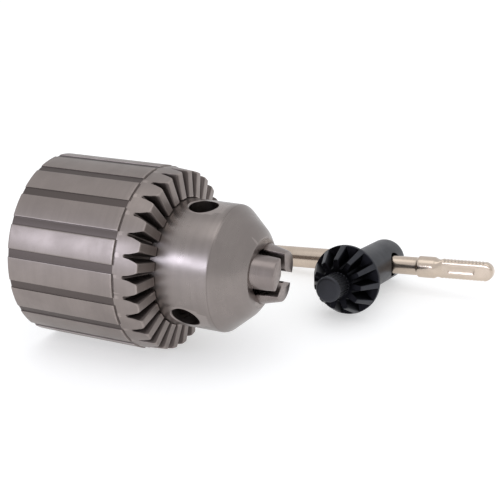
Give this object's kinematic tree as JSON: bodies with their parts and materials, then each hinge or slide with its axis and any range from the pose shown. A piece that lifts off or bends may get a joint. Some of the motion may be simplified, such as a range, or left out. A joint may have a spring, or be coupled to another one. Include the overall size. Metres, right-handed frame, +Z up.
{
  "type": "drill chuck",
  "caption": "Heavy keyed three-jaw drill chuck with a grooved, bevel-toothed sleeve, taper socket, sliding jaws, ball thrust bearing and its T-handle key.",
  "frame": {"origin": "centre of the taper socket's mouth, in the chuck's rear face", "axes": "+X along the chuck's axis from the socket to the jaws, +Z up with the chuck lying on its sleeve, +Y towards the loose key"},
  "size_m": [0.1385, 0.1297, 0.0636],
  "materials": {
    "ground_steel": "finely ground",
    "sleeve_steel": "ground lands, satin grooves",
    "jaw_steel": "fine ground, hardened",
    "nut_steel": "machined",
    "bearing_steel": "polished",
    "cage_brass": "stamped",
    "black_oxide": "black oxide, satin",
    "nickel_plate": "nickel plated, bright"
  },
  "bodies": {
    "chuck": {"chuck_body": "ground_steel", "bearing_race_rear": "bearing_steel"},
    "sleeve": {"sleeve": "sleeve_steel", "nut_half_a": "nut_steel", "nut_half_b": "nut_steel", "bearing_race_front": "bearing_steel"},
    "bearing": {"ball_cage": "cage_brass", "bearing_ball_01": "bearing_steel", "bearing_ball_02": "bearing_steel", "bearing_ball_03": "bearing_steel", "bearing_ball_04": "bearing_steel", "bearing_ball_05": "bearing_steel", "bearing_ball_06": "bearing_steel", "bearing_ball_07": "bearing_steel", "bearing_ball_08": "bearing_steel", "bearing_ball_09": "bearing_steel", "bearing_ball_10": "bearing_steel", "bearing_ball_11": "bearing_steel", "bearing_ball_12": "bearing_steel", "bearing_ball_13": "bearing_steel", "bearing_ball_14": "bearing_steel", "bearing_ball_15": "bearing_steel", "bearing_ball_16": "bearing_steel", "bearing_ball_17": "bearing_steel", "bearing_ball_18": "bearing_steel", "bearing_ball_19": "bearing_steel", "bearing_ball_20": "bearing_steel", "bearing_ball_21": "bearing_steel", "bearing_ball_22": "bearing_steel", "bearing_ball_23": "bearing_steel", "bearing_ball_24": "bearing_steel"},
    "jaw_1": {"jaw_1": "jaw_steel"},
    "jaw_2": {"jaw_2": "jaw_steel"},
    "jaw_3": {"jaw_3": "jaw_steel"},
    "key": {"key_gear": "black_oxide", "key_handle": "nickel_plate"}
  },
  "joints": [
    {"name": "sleeve_turn", "type": "hinge", "parent": "chuck", "child": "sleeve", "pos_m": [0.02, 0, 0], "axis": [1, 0, 0], "range_deg": [-672, 2478]},
    {"name": "bearing_turn", "type": "hinge", "parent": "chuck", "child": "bearing", "pos_m": [0.0318, 0, 0], "axis": [1, 0, 0], "range_deg": [-340, 1245]},
    {"name": "jaw_1_slide", "type": "slide", "parent": "chuck", "child": "jaw_1", "axis": [0.9613, -0.2187, -0.1678], "range_m": [-0.0207, 0.00565]},
    {"name": "jaw_2_slide", "type": "slide", "parent": "chuck", "child": "jaw_2", "axis": [0.9613, 0.2547, -0.1055], "range_m": [-0.0207, 0.00565]},
    {"name": "jaw_3_slide", "type": "slide", "parent": "chuck", "child": "jaw_3", "axis": [0.9613, -0.036, 0.2733], "range_m": [-0.0207, 0.00565]},
    {"name": "key_lift", "type": "slide", "parent": "chuck", "child": "key", "axis": [0, 0, 1], "range_m": [0, 0.12]}
  ],
  "couplings": [
    {"joint": "bearing_turn", "follows": "sleeve_turn", "ratio": 0.5},
    {"joint": "jaw_1_slide", "follows": "sleeve_turn", "m_per_rad": -0.00047746},
    {"joint": "jaw_2_slide", "follows": "sleeve_turn", "m_per_rad": -0.00047746},
    {"joint": "jaw_3_slide", "follows": "sleeve_turn", "m_per_rad": -0.00047746}
  ]
}
